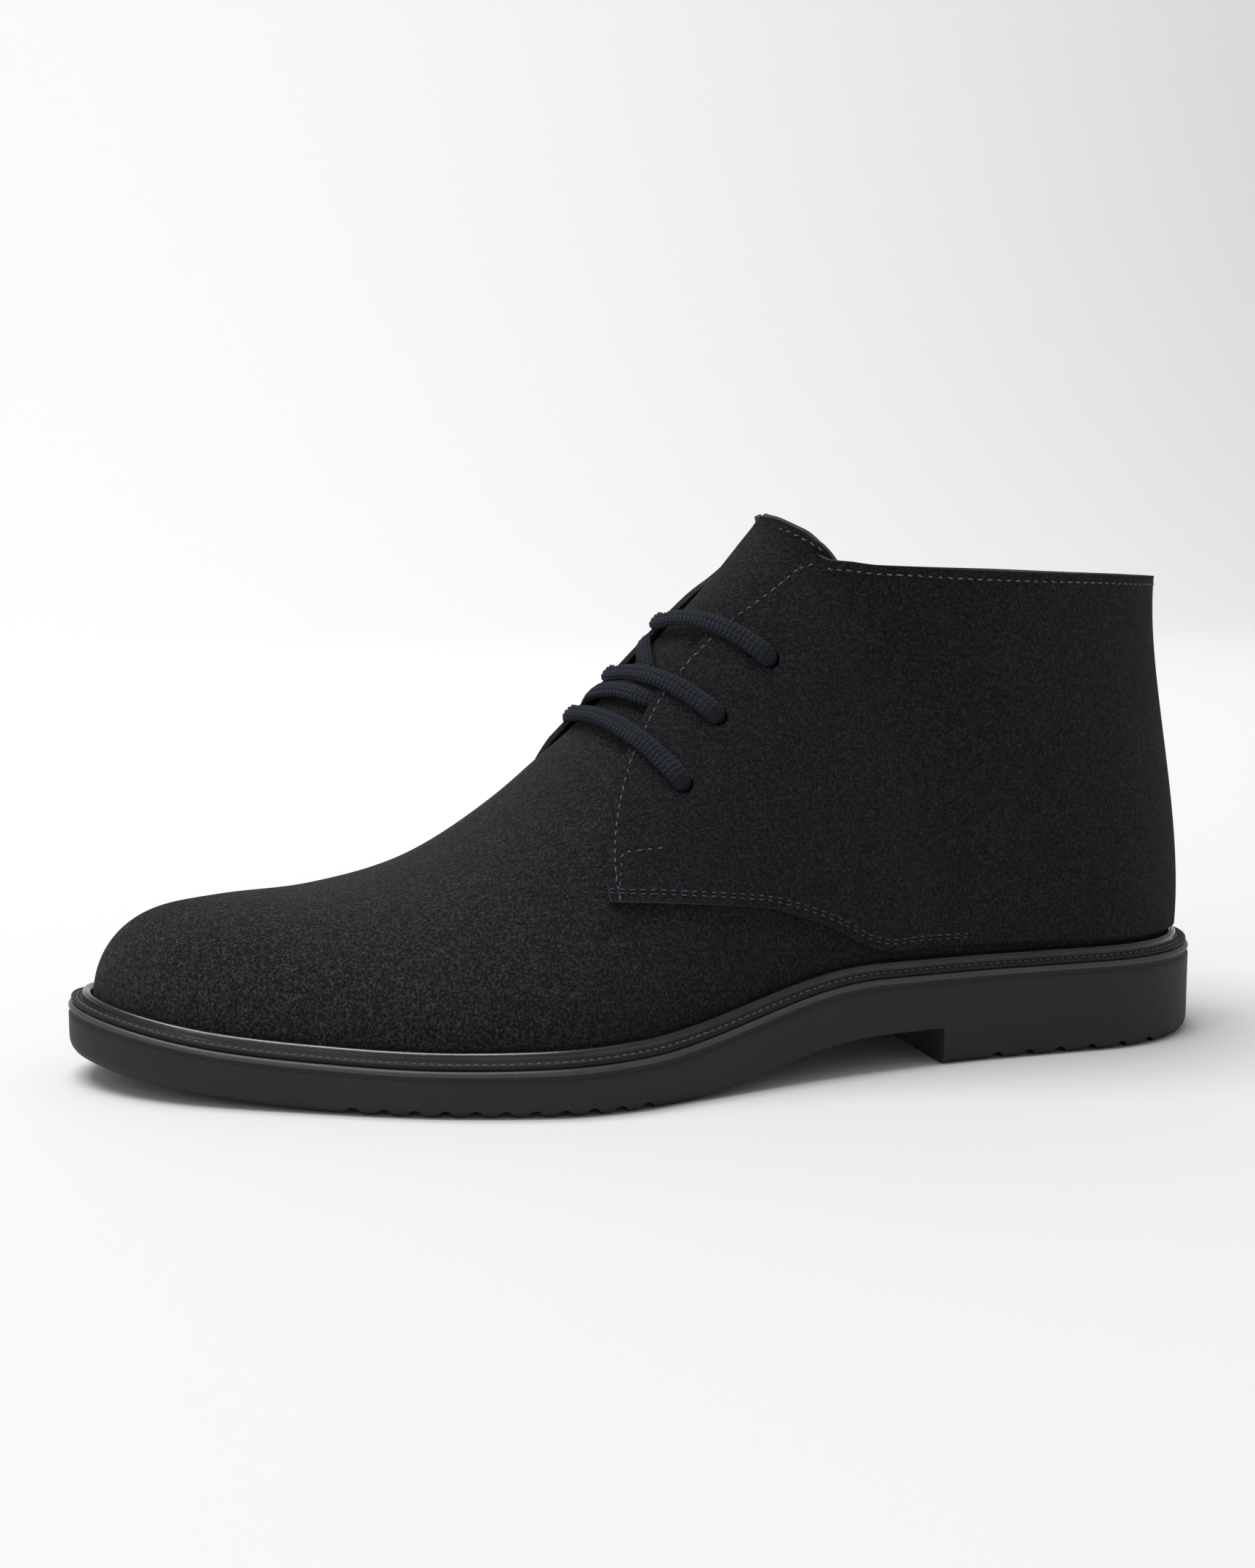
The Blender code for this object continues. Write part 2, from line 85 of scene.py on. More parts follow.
class Finish:
    """A material, and the one way its nodes are made."""

    def __init__(self, name, **fixed):
        self.material = bpy.data.materials.new(name)
        self.material.use_nodes = True
        self.tree = self.material.node_tree
        self.shader = self.tree.nodes["Principled BSDF"]
        for socket, value in fixed.items():
            self.shader.inputs[socket.replace("_", " ")].default_value = value
        self.place = self.node("ShaderNodeNewGeometry", {}, {}, "Position")

    def node(self, kind, settings, inputs, output=0):
        made = self.tree.nodes.new(kind)
        for name, value in settings.items():
            setattr(made, name, value)
        for key, value in inputs.items():
            if isinstance(value, Value):
                self.tree.links.new(value.socket, made.inputs[key])
            else:
                made.inputs[key].default_value = value
        return Value(self, made.outputs[output])

    def noise(self, scale, detail=3.0, rough=0.5, warp=0.0):
        """Noise over the boot: scale is how many blotches to a metre."""
        return self.node("ShaderNodeTexNoise", {}, {"Vector": self.place, "Scale": scale, "Detail": detail,
                                                    "Roughness": rough, "Distortion": warp})

    def mix(self, share, low, high):
        return self.node("ShaderNodeMix", {"data_type": "RGBA"},
                         {0: share, 6: low if isinstance(low, Value) else (*low, 1),
                          7: high if isinstance(high, Value) else (*high, 1)}, 2)

    def feed(self, **sockets):
        for socket, value in sockets.items():
            self.tree.links.new(value.socket, self.shader.inputs[socket.replace("_", " ")])

    def bump(self, *layers):
        """Each layer is a height from 0 to 1 and its depth in metres."""
        normal = None
        for height, depth in layers:
            inputs = {"Height": height, "Distance": depth, "Strength": 1.0}
            if normal:
                inputs["Normal"] = normal
            normal = self.node("ShaderNodeBump", {}, inputs)
        self.feed(Normal=normal)


LENGTH = 305.0


def to_metres(points):
    """From millimetres across, along from the toe's tip, and up."""
    return (np.asarray(points, float) - [0, LENGTH / 2, 0]) / 1000


def piece(name, points, faces, finishes, replaced=(), which=None):
    """A piece of the boot from points in millimetres, riding on the one body."""
    mesh = bpy.data.meshes.new(name)
    mesh.from_pydata(to_metres(points).tolist(), [], [list(map(int, f)) for f in faces])
    for finish in finishes:
        mesh.materials.append(finish.material)
    if which is not None:
        mesh.polygons.foreach_set("material_index", np.asarray(which, np.int32))
    mesh.polygons.foreach_set("use_smooth", np.full(len(mesh.polygons), True))
    mesh.update()
    made = bpy.data.objects.new(name, mesh)
    scene.collection.objects.link(made)
    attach(made, "root")
    if replaced:
        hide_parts(*replaced)
    return made


def plane_light(name, place, aim_at, size, power):
    light = bpy.data.lights.new(name, "AREA")
    light.shape, light.size, light.size_y, light.energy = "RECTANGLE", *size, power
    lamp = bpy.data.objects.new(name, light)
    scene.collection.objects.link(lamp)
    lamp.location = place
    away = np.array(place) - aim_at
    lamp.rotation_euler = (math.acos(away[2] / np.linalg.norm(away)), 0, math.atan2(away[0], -away[1]))


backdrop = Finish("pale paper", Base_Color=(0.76, 0.76, 0.763, 1), Roughness=0.9)
grain = backdrop.noise(3.0, 2.0)
backdrop.feed(Roughness=grain * 0.1 + 0.85)
floor_mesh = bpy.data.meshes.new("floor")
FLOOR_REACH, BEND_START, BEND, WALL_TOP = 8.0, -2.0, 1.5, 7.0
bend = [(BEND_START - BEND * math.sin(t), BEND - BEND * math.cos(t))
        for t in np.linspace(0.05, math.pi / 2, 24)]
sweep = [(FLOOR_REACH, 0.0), (BEND_START, 0.0), *bend, (BEND_START - BEND, WALL_TOP)]
floor_mesh.from_pydata([(x, y, z) for x, z in sweep for y in (-FLOOR_REACH, FLOOR_REACH)], [],
                       [(2 * k, 2 * k + 1, 2 * k + 3, 2 * k + 2) for k in range(len(sweep) - 1)])
floor_mesh.polygons.foreach_set("use_smooth", np.full(len(floor_mesh.polygons), True))
floor_mesh.materials.append(backdrop.material)
floor = bpy.data.objects.new("floor", floor_mesh)
scene.collection.objects.link(floor)
world = bpy.data.worlds.new("studio")
world.use_nodes = True
world.node_tree.nodes["Background"].inputs["Color"].default_value = (1, 1, 1, 1)
world.node_tree.nodes["Background"].inputs["Strength"].default_value = 0.4
scene.world = world
plane_light("overhead", (-0.2, -0.9, 3.3), (0, 0, 0.05), (2.2, 2.2), 106)
plane_light("front", (1.3, -2.2, 1.5), (0, -0.05, 0.05), (0.25, 1.6), 4.5)
plane_light("backdrop_wash", (-0.9, 0, 2.6), (-3.5, 0, 1.6), (5.0, 1.2), 48)


# Sole unit: one moulding of matte black-green rubber with a toe spring, an arch, a low heel, a rounded lip
# and arch-topped tread grooves right across. It is cemented under the welt. A station is the distance from
# the toe tip in millimetres, and u runs from 0 at the toe to 1 at the heel.
CENTRE = 7.7
TOE_ROUND, HEEL_ROUND = 80.0, 42.0
AXIS = np.array([(0, -6), (60, -1.5), (120, 2.7), (145, 4.2), (180, 3.7), (240, 1.8), (305, 1)], float)
OUTER = np.array([(0, 46.8), (25, 46.7), (40, 47.3), (55, 49.4), (70, 53.1), (85, 57.4), (100, 60.5),
                  (115, 61.9), (130, 59.6), (145, 54.3), (160, 49.6), (180, 44.4), (200, 40.8), (220, 38.3),
                  (250, 36.9), (305, 36)], float)
INNER = np.array([(0, 38), (20, 39.5), (40, 43), (60, 45.8), (80, 48.3), (100, 49), (120, 47.7), (140, 45),
                  (160, 41.5), (180, 39), (200, 37.5), (220, 36.9), (250, 36.6), (305, 36)], float)
SIDE_WALL = np.array([(0, 11.2), (30, 10.4), (60, 10.5), (90, 10.2), (120, 10.8), (150, 12.4), (180, 13),
                      (210, 12.8), (305, 12.8)], float)
LIP, WELT, BEAD, LEDGE, GAP = 1.2, 1.3, 2.2, 3.5, 0.3


def smooth(stations, values, at):
    """A cubic through the stations, with three-point slopes."""
    xs, ys = np.asarray(stations, float), np.asarray(values, float)
    step = np.diff(xs)
    wide = step if ys.ndim == 1 else step[:, None]
    slope = np.diff(ys, axis=0) / wide
    m = np.empty_like(ys)
    m[0], m[-1] = slope[0], slope[-1]
    w = wide[1:] / (wide[:-1] + wide[1:])
    m[1:-1] = slope[:-1] * w + slope[1:] * (1 - w)
    at = np.clip(np.asarray(at, float), xs[0], xs[-1])
    i = np.clip(np.searchsorted(xs, at, side="right") - 1, 0, len(xs) - 2)
    t, h = (at - xs[i]) / step[i], step[i]
    if ys.ndim > 1:
        t, h = t[..., None], h[..., None]
    return ((2 * t**3 - 3 * t**2 + 1) * ys[i] + (t**3 - 2 * t**2 + t) * h * m[i]
            + (3 * t**2 - 2 * t**3) * ys[i + 1] + (t**3 - t**2) * h * m[i + 1])


def ease(x):
    x = np.clip(x, 0, 1)
    return x * x * (3 - 2 * x)


def station_of(u):
    return LENGTH * (1 - np.cos(np.pi * u)) / 2


def sole_edge(u, side, inset=0.0):
    """Plan point of the sole's edge on one side, moved in by inset, and its outward normal."""
    u = np.asarray(u, float)

    def raw(u):
        a = station_of(u)
        table, power = (OUTER, 1.9) if side > 0 else (INNER, 2.3)
        end = np.ones_like(a)
        toe, heel = a < TOE_ROUND, a > LENGTH - HEEL_ROUND
        end[toe] = (1 - (1 - a[toe] / TOE_ROUND) ** power) ** (1 / power)
        end[heel] = np.maximum(1 - ((a[heel] - LENGTH + HEEL_ROUND) / HEEL_ROUND) ** 2.1, 0) ** (1 / 2.1)
        return smooth(*AXIS.T, a) + side * end * smooth(*table.T, a), a

    x, a = raw(u)
    x1, a1 = raw(np.minimum(u + 1e-3, 1))
    x0, a0 = raw(np.maximum(u - 1e-3, 0))
    tx, ta = x1 - x0, a1 - a0
    tip, tail = u < 1e-6, u > 1 - 1e-6
    tx = np.where(tip, side, np.where(tail, -side, tx))
    ta = np.where(tip | tail, 0, ta)
    size = np.hypot(tx, ta)
    nx, na = side * ta / size, -side * tx / size
    return x - nx * inset - CENTRE, a - na * inset, nx, na


def toe_lift(a):
    return 7.3 * np.clip((75.0 - a) / 75.0, 0, 1) ** 2


def arch(a):
    return 9.9 * ease((a - 135.0) / 65.0)


def sole_top(a):
    return toe_lift(a) + arch(a) + smooth(*SIDE_WALL.T, a) + LIP


def ring(inset, rise, steps):
    """Points round the sole: outer side from toe to heel, then back along the inner side."""
    u = np.linspace(0, 1, steps)
    points = []
    for side, order in ((1, slice(None)), (-1, slice(steps - 2, 0, -1))):
        x, a, _, _ = sole_edge(u, side, inset)
        points.append(np.stack([x, a, rise(a)], -1)[order])
    return np.concatenate(points)


def band(rings, closed=False):
    count, faces = len(rings[0]), []
    for r in range(len(rings) - (not closed)):
        low, high = r * count, (r + 1) % len(rings) * count
        faces += [[low + k, low + (k + 1) % count, high + (k + 1) % count, high + k] for k in range(count)]
    return faces


def ladder(start, count, up):
    """A ring's cap, laid across from side to side."""
    faces = []
    for k in range(count // 2):
        face = [start + p for p in (k, k + 1, (count - k - 1) % count, (count - k) % count)]
        face = [p for n, p in enumerate(face) if p != face[n - 1]]
        faces.append(face if up else face[::-1])
    return faces


def prism(profile, half_width):
    n = len(profile)
    points = [(x, a, z) for x in (-half_width, half_width) for a, z in profile]
    faces = [[n + k, n + (k + 1) % n, (k + 1) % n, k] for k in range(n)]
    return points, faces + [list(range(n)), [n + k for k in range(n)][::-1]]


def cutter(name, prisms):
    points, faces = [], []
    for more, theirs in prisms:
        faces += [[len(points) + i for i in f] for f in theirs]
        points += more
    mesh = bpy.data.meshes.new(name)
    mesh.from_pydata(to_metres(points).tolist(), [], faces)
    return bpy.data.objects.new(name, mesh)


def carve(made, tools, sharp=35, solver="EXACT"):
    """Cuts the tools out of a piece for good and marks the edges that they leave."""
    for tool in tools:
        scene.collection.objects.link(tool)
        step = made.modifiers.new(tool.name, "BOOLEAN")
        step.operation, step.solver, step.object = "DIFFERENCE", solver, tool
    bpy.context.view_layer.update()
    cut = bpy.data.meshes.new_from_object(made.evaluated_get(bpy.context.evaluated_depsgraph_get()))
    made.modifiers.clear()
    made.data = cut
    cut.set_sharp_from_angle(angle=math.radians(sharp))
    for tool in tools:
        bpy.data.objects.remove(tool)


rubber = Finish("sole rubber", Roughness=0.62, Specular_IOR_Level=0.27)
mottle, dust, pores = rubber.noise(70, 4), rubber.noise(900, 2), rubber.noise(4200, 2)
share = mottle * 0.4 + dust * 0.2 + pores.step(0.35, 0.65) * 0.4
rubber.feed(Base_Color=rubber.mix(share, (0.0080, 0.0086, 0.0076), (0.0300, 0.0320, 0.0290)),
            Roughness=mottle * 0.14 + dust * 0.12 + 0.5)
rubber.bump((mottle, 0.00014), (dust, 0.00010), (pores, 0.00005))
# Painted highlight: the lip is the sole's own rubber, given a base colour two to three times lighter than the
# wall's to stand in for the light the rounded lip catches from above. Its lower roughness is its glossier
# finish.
lip_rubber_painted_highlight = Finish("sole lip rubber with painted highlight", Roughness=0.45, Specular_IOR_Level=0.4)
mottle, dust = lip_rubber_painted_highlight.noise(70, 4), lip_rubber_painted_highlight.noise(1500, 2)
share = mottle * 0.5 + dust * 0.5
lip_rubber_painted_highlight.feed(Base_Color=lip_rubber_painted_highlight.mix(share, (0.022, 0.0235, 0.022), (0.062, 0.065, 0.062)),
                Roughness=mottle * 0.2 + 0.32)
lip_rubber_painted_highlight.bump((mottle, 0.00012), (dust, 0.00006))
SOLE_STEPS = 221
# (inset, what it rises with, rise above that), from under the sole up its wall, over the lip and across
LIP_HIGHLIGHT_RINGS = range(13, 18)
sole_profile = [(3.0, toe_lift, 0), (2.1, toe_lift, 0.12), (1.2, toe_lift, 0.6), (0.5, toe_lift, 1.5),
                (0.12, toe_lift, 2.6), (0, toe_lift, 3.8), (0, sole_top, -4.4), (0, sole_top, -3.0),
                (0.14, sole_top, -2.75), (0.36, sole_top, -2.35), (0.44, sole_top, -1.95),
                (0.36, sole_top, -1.6), (0.1, sole_top, -1.35), (0, sole_top, -1.15), (0.02, sole_top, -0.85),
                (0.18, sole_top, -0.45), (0.45, sole_top, -0.1), (0.8, sole_top, 0.12),
                (1.15, sole_top, 0.25), (11.6, sole_top, 0.25), (11.6, sole_top, GAP + WELT)]
rings = [ring(inset, (lambda a, base=base, dz=dz: base(a) + dz), SOLE_STEPS)
         for inset, base, dz in sole_profile]
count = len(rings[0])
faces = band(rings) + ladder(0, count, False) + ladder((len(rings) - 1) * count, count, True)
# The faces on the lip's rings take the rubber with the painted highlight.
painted_highlight_on_lip = np.zeros(len(faces), int)
painted_highlight_on_lip[LIP_HIGHLIGHT_RINGS[0] * count:(LIP_HIGHLIGHT_RINGS[-1] + 1) * count] = 1
sole = piece("sole_unit", np.concatenate(rings), faces, [rubber, lip_rubber_painted_highlight], ["outsole"],
             which=painted_highlight_on_lip)
ARCH_START, HEEL_BREAST, BELOW, HALF_WIDE = 140, 218, -8, 80
stations = np.append(np.arange(ARCH_START, HEEL_BREAST, 2.6), HEEL_BREAST)
arch_side = [(ARCH_START, BELOW), *((a, float(arch(a))) for a in stations), (HEEL_BREAST, BELOW)]
arch_tool = cutter("arch_tool", [prism(arch_side, HALF_WIDE)])
FOREFOOT_GROOVES, HEEL_GROOVES = 64 + 6.87 * np.arange(11), 234 + 9.3 * np.arange(6)
GROOVE = ((-2.4, -3), (-2.25, 0.2), (-1.8, 0.95), (-1.2, 1.55), (-0.6, 1.92), (0, 2.05), (0.6, 1.92),
          (1.2, 1.55), (1.8, 0.95), (2.25, 0.2), (2.4, -3))
groove_tool = cutter("groove_tool", [
    prism([(a + da, float(toe_lift(np.array(a))) + dz) for da, dz in GROOVE], HALF_WIDE)
    for a in np.append(FOREFOOT_GROOVES, HEEL_GROOVES)])
carve(sole, [arch_tool, groove_tool])

# Welt: a strip of harder rubber on the sole's edge, with a dull ledge and a shiny half-round storm bead
# against the suede. A row of grey thread runs in a shallow channel round the ledge and holds it to the sole.
welt_rubber = Finish("welt rubber", Roughness=0.3, Specular_IOR_Level=0.6, Coat_Roughness=0.12)
mottle, dust = welt_rubber.noise(60, 4), welt_rubber.noise(1600, 2)
welt_rubber.feed(Base_Color=welt_rubber.mix(mottle, (0.0025, 0.0025, 0.0028), (0.0065, 0.0068, 0.0072)),
                 Roughness=mottle * 0.1 + dust * 0.12 + 0.2,
                 Coat_Weight=mottle.step(0.3, 0.75) * 0.4 + 0.2)
welt_rubber.bump((mottle, 0.0001), (dust, 0.00004))
ledge_rubber = Finish("ledge rubber", Roughness=0.6, Specular_IOR_Level=0.25)
mottle, dust = ledge_rubber.noise(60, 4), ledge_rubber.noise(1600, 2)
ledge_rubber.feed(Base_Color=ledge_rubber.mix(mottle, (0.004, 0.004, 0.0042), (0.012, 0.0125, 0.0125)),
                  Roughness=mottle * 0.12 + dust * 0.14 + 0.45)
ledge_rubber.bump((mottle, 0.0001), (dust, 0.00005))
TOP = GAP + WELT
CHANNEL, CHANNEL_DEEP = 2.1, 0.42
welt_profile = [(1.2, GAP), (0.85, GAP + 0.15), (0.7, GAP + 0.5), (0.72, TOP - 0.35), (0.85, TOP - 0.12),
                (1.1, TOP), (1.5, TOP), (1.68, TOP - 0.3), (CHANNEL, TOP - CHANNEL_DEEP), (2.55, TOP - 0.3),
                (2.75, TOP), (LEDGE - 0.12, TOP + 0.02)]
first_of_bead = len(welt_profile)
welt_profile.append((LEDGE, TOP + 0.15))
welt_profile += [(LEDGE + BEAD / 2 * (1 - math.cos(t)), TOP + 0.95 + 1.2 * math.sin(t))
                 for t in np.linspace(0.0, math.pi, 11)]
last_of_bead = len(welt_profile) - 1
welt_profile += [(LEDGE + BEAD, TOP), (11.3, TOP), (11.3, GAP)]
rings = [ring(inset, (lambda a, dz=dz: sole_top(a) + dz), SOLE_STEPS) for inset, dz in welt_profile]
on_bead = np.repeat([int(first_of_bead <= k <= last_of_bead) for k in range(len(rings))], len(rings[0]))
welt = piece("welt", np.concatenate(rings), band(rings, closed=True), [ledge_rubber, welt_rubber],
             ["welt"], which=on_bead)
welt.data.set_sharp_from_angle(angle=math.radians(50))


def along(path, pitch, *others, start=0.0):
    """Resamples a path, and what goes with it, every pitch millimetres."""
    path = np.asarray(path, float)
    walked = np.append(0, np.cumsum(np.linalg.norm(np.diff(path, axis=0), axis=1)))
    at = np.arange(start, walked[-1], pitch)
    return [np.stack([np.interp(at, walked, column) for column in np.asarray(given, float).T], -1)
            for given in (path, *others)]


def unit(vectors):
    return vectors / np.linalg.norm(vectors, axis=-1, keepdims=True)


THREAD_SIDES, THREAD_RINGS, JITTER = 6, 5, 0.13


def stitches(path, normals, pitch, length, thick, sink, start=0.0, seed=1):
    """Separate thread stitches laid along a path: each rises out of the leather and goes back in."""
    centres, ups = along(path, pitch, normals, start=start)
    tangents = unit(np.gradient(centres, axis=0))
    ups = unit(ups)
    sides = np.cross(tangents, ups)
    chance = np.random.default_rng(seed)
    angle = np.linspace(0, 2 * np.pi, THREAD_SIDES, endpoint=False)
    s = np.linspace(-1, 1, THREAD_RINGS)
    points, faces = [], []
    for c, t, n, w in zip(centres, tangents, ups, sides):
        lean, grow = chance.normal(0, JITTER), 1 + chance.normal(0, JITTER)
        t = t + w * lean
        for k, q in enumerate(s):
            r = thick / 2 * (1.0, 1.0, 0.55)[min(int(abs(q) * 2.01), 2)]
            middle = c + t * q * length / 2 * grow + n * (thick * (0.5 - sink) - thick * 0.75 * q**4)
            points += [middle + w * r * math.cos(p) + n * r * math.sin(p) for p in angle]
        for k in range(THREAD_RINGS - 1):
            low = len(points) - (THREAD_RINGS - k) * THREAD_SIDES
            high = low + THREAD_SIDES
            faces += [[low + j, low + (j + 1) % THREAD_SIDES, high + (j + 1) % THREAD_SIDES, high + j]
                      for j in range(THREAD_SIDES)]
    return np.array(points), faces


grey_thread = Finish("grey thread", Roughness=0.75)
strand = grey_thread.noise(2600, 2)
grey_thread.feed(Base_Color=grey_thread.mix(strand, (0.02, 0.021, 0.022), (0.16, 0.165, 0.17)))
grey_thread.bump((strand, 0.00008))
row = ring(CHANNEL, (lambda a: sole_top(a) + TOP - CHANNEL_DEEP), 400)
row = np.concatenate([row, row[:1]])
upright = np.tile([0, 0, 1.0], (len(row), 1))
points, faces = stitches(row, upright, pitch=2.1, length=1.65, thick=0.55, sink=0.1)
piece("welt_stitches", points, faces, [grey_thread])

# Footbed: a leather-covered foam board that lies loose inside, with a slightly cupped, rounded edge.
footbed = Finish("footbed leather", Roughness=0.6)
hide, crumb = footbed.noise(160, 4), footbed.noise(2200, 3)
footbed.feed(Base_Color=footbed.mix(hide, (0.16, 0.085, 0.045), (0.27, 0.155, 0.085)),
             Roughness=hide * 0.2 + 0.5)
footbed.bump((crumb, 0.00012), (hide, 0.0002))
FOOT_INSET, WALL = 6.1, 1.6
bed = FOOT_INSET + WALL + 0.9
BASE = WELT + 2 * GAP + 0.1
bed_profile = [(0.3, 0), (0, 0.4), (0, 2.3), (0.5, 2.8), (1.5, 2.9), (6, 2.5), (12, 2.2)]
rings = [ring(bed + inset, (lambda a, dz=dz: sole_top(a) + BASE + dz), 101) for inset, dz in bed_profile]
count = len(rings[0])
piece("footbed", np.concatenate(rings),
      band(rings) + ladder(0, count, False) + ladder((len(rings) - 1) * count, count, True),
      [footbed], ["insole"])

# Upper: the vamp and its tongue, one pattern piece of coarse-napped suede lasted over the toe, with the
# backing that runs on round the heel under the quarters. Leather lines it, and it stands on the welt, inside
# the bead. The tables go by rib, from the one at the toe to the one at the heel.
RIDGE = np.array([(5.9, 32, 44.3), (30, 45, 45), (60, 64, 46.3), (90, 88, 53.5), (115, 107, 65.5),
                  (140, 123.5, 79.5), (160, 140, 96), (178, 154, 111), (195, 167.5, 126),
                  (210, 179, 140.5)], float)
COLLAR = np.array([(210, 0, 140.5), (217, 14, 140.2), (224, 27, 137.6), (232, 38, 133), (240, 49, 129.6),
                   (254, 68, 128), (270, 92, 126.8), (284, 118, 126), (292, 142, 125.3), (296.5, 160, 125),
                   (299.1, 180, 124.8)], float)
CREST = np.array([(5.9, -5.5), (32, -5), (60, -5), (90, -6), (120, -5.5), (150, -2.5), (181, 0), (200, 0.8),
                  (305, 1.2)], float)
SHAPE = np.array([(5.9, 14, -0.5, 15, 0, 0, 0), (12, 14, 0, 17, 0, 35, 0), (30, 15, 1, 26, 0, 72, 0),
                  (60, 17, 2, 33, 0, 90, 0), (90, 20, 3, 36, 3, 90, 20), (115, 24, 3, 34, 4, 90, 35),
                  (140, 32, 2, 32, 4, 90, 48), (160, 38, 1, 31, 4, 90, 50), (178, 42, 1, 31, 4, 90, 50),
                  (195, 46, 1.5, 30, 5, 90, 50), (210, 48, 2, 28, 14, 90, 50), (217, 48, 2, 24, 34, 90, 48),
                  (224, 48, 2.4, 22, 54, 90, 44), (232, 46, 2.7, 24, 66, 90, 38),
                  (240, 44, 3, 26, 74, 90, 32), (254, 40, 3.4, 30, 84, 90, 18),
                  (270, 36, 3.5, 30, 90, 90, 8), (285, 34, 3.2, 30, 90, 90, 0),
                  (294, 34, 3, 28, 90, 90, -4), (299.1, 34, 2.8, 26, 90, 90, -5)], float)
FIRST_RIB, LAST_RIB = 5.9, 299.1
FRONT, OVAL_MID, OVAL_HALF, OVAL_SIDE = 210.0, 235.0, 56.0, 32.5


def upper_point(u, v, side):
    """Point of the upper's outer face: u 0 toe to 1 heel, v 0 at the foot to 1 at the ridge or collar."""
    u, v = np.asarray(u, float), np.asarray(v, float)
    x, a, nx, na = sole_edge(u, side, FOOT_INSET)
    foot = np.stack([x, a, sole_top(a) + WELT + 2 * GAP], -1)
    m = FIRST_RIB + (LAST_RIB - FIRST_RIB) * station_of(u) / LENGTH
    ridge = smooth(RIDGE[:, 0], RIDGE[:, 1:], m)
    oval = smooth(COLLAR[:, 0], COLLAR[:, 1:], m)
    behind = m > FRONT
    turn = np.radians(np.where(behind, np.maximum(oval[..., 0], 0), 0))
    ha = np.where(behind, OVAL_MID - OVAL_HALF * np.cos(turn), ridge[..., 0])
    hz = np.where(behind, oval[..., 1], ridge[..., 1])
    hx = smooth(*CREST.T, ha) - CENTRE + side * OVAL_SIDE * np.sin(turn)
    head = np.stack([hx, ha, hz], -1)
    rise, swell, reach, drop, fan, lean = np.moveaxis(smooth(SHAPE[:, 0], SHAPE[:, 1:], m), -1, 0)
    drop, fan, lean = np.radians(drop)[..., None], np.radians(fan), np.radians(lean)
    out = np.stack([nx, na, 0 * nx], -1)
    sideways = np.stack([side * np.sin(fan), -np.cos(fan), 0 * fan], -1)
    down = np.stack([0 * lean, np.sin(lean), -np.cos(lean)], -1)
    near = foot + out * swell[..., None] + np.array([0, 0, 1.0]) * rise[..., None]
    far = head + reach[..., None] * (np.cos(drop) * sideways + np.sin(drop) * down)
    t = v[..., None]
    return (1 - t) ** 3 * foot + 3 * (1 - t) ** 2 * t * near + 3 * (1 - t) * t * t * far + t**3 * head


def normals_on(u, v, side):
    """Outward normals of the upper's face."""
    d = 2e-3
    du = upper_point(np.minimum(u + d, 1), v, side) - upper_point(np.maximum(u - d, 0), v, side)
    dv = upper_point(u, np.minimum(v + d, 1), side) - upper_point(u, np.maximum(v - d, 0), side)
    return unit(side * np.cross(du, dv))


def sheet_of(grids):
    """One sheet from (side, grid of points, grid of a number for each), welded where the grids meet."""
    points, extra, quads = [], [], []
    start = 0
    for side, grid, number in grids:
        rows, columns = grid.shape[:2]
        index = start + np.arange(rows * columns).reshape(rows, columns)
        a, b, c, d = index[:-1, :-1], index[1:, :-1], index[1:, 1:], index[:-1, 1:]
        quads.append(np.stack([a, b, c, d] if side > 0 else [a, d, c, b], -1).reshape(-1, 4))
        points.append(grid.reshape(-1, 3))
        extra.append(number.reshape(-1))
        start += rows * columns
    points, extra, quads = np.concatenate(points), np.concatenate(extra), np.concatenate(quads)
    _, first, index = np.unique(np.round(points / 1e-3).astype(np.int64), axis=0, return_index=True,
                                return_inverse=True)
    return points[first], extra[first], index.reshape(-1)[quads]


def sheet_normals(points, quads):
    p = points[quads]
    across = np.cross(p[:, 2] - p[:, 0], p[:, 3] - p[:, 1])
    normals = np.zeros_like(points)
    for k in range(4):
        np.add.at(normals, quads[:, k], across)
    return unit(normals)


def leather(points, quads, low, high, normals=None):
    """A closed piece between two offsets of a sheet: its outer faces, then its lining, then its cut edges."""
    normals = sheet_normals(points, quads) if normals is None else normals
    low, high = (np.broadcast_to(np.asarray(x, float), len(points))[:, None] for x in (low, high))
    solid = np.concatenate([points + normals * high, points + normals * low])
    faces = []
    for quad in quads.tolist():
        face = [p for k, p in enumerate(quad) if p != quad[k - 1]]
        if len(face) > 2:
            faces.append(face)
    sides = {(face[k - 1], p) for face in faces for k, p in enumerate(face)}
    edges = [[q, p, p + len(points), q + len(points)] for p, q in sorted(sides) if (q, p) not in sides]
    inner = [[i + len(points) for i in reversed(f)] for f in faces]
    return solid, faces + inner + edges, [0] * len(faces) + [1] * len(inner) + [2] * len(edges), normals


def creases(points):
    """Soft troughs and ridges where the boot flexes: station, height, reach along, reach up, lean, depth."""
    depth = np.zeros(len(points))
    x, a, z = points.T
    for station, level, wide, tall, lean, deep in (
            (116, 44, 5, 16, 0.35, -0.45), (126, 46, 5, 18, 0.4, 0.35), (104, 38, 6, 14, 0.3, -0.3),
            (196, 62, 13, 22, -0.25, 0.5), (212, 70, 10, 26, -0.2, -0.5), (226, 60, 9, 26, -0.1, 0.4),
            (262, 66, 9, 26, 0.1, -0.5), (190, 104, 7, 16, 0.5, 0.4), (204, 100, 7, 18, 0.5, -0.4),
            (60, 33, 18, 14, 0, 0.25)):
        along_it = (a - station - lean * (z - level)) / wide
        depth += deep * np.exp(-along_it**2 - ((z - level) / tall) ** 2)
    return depth


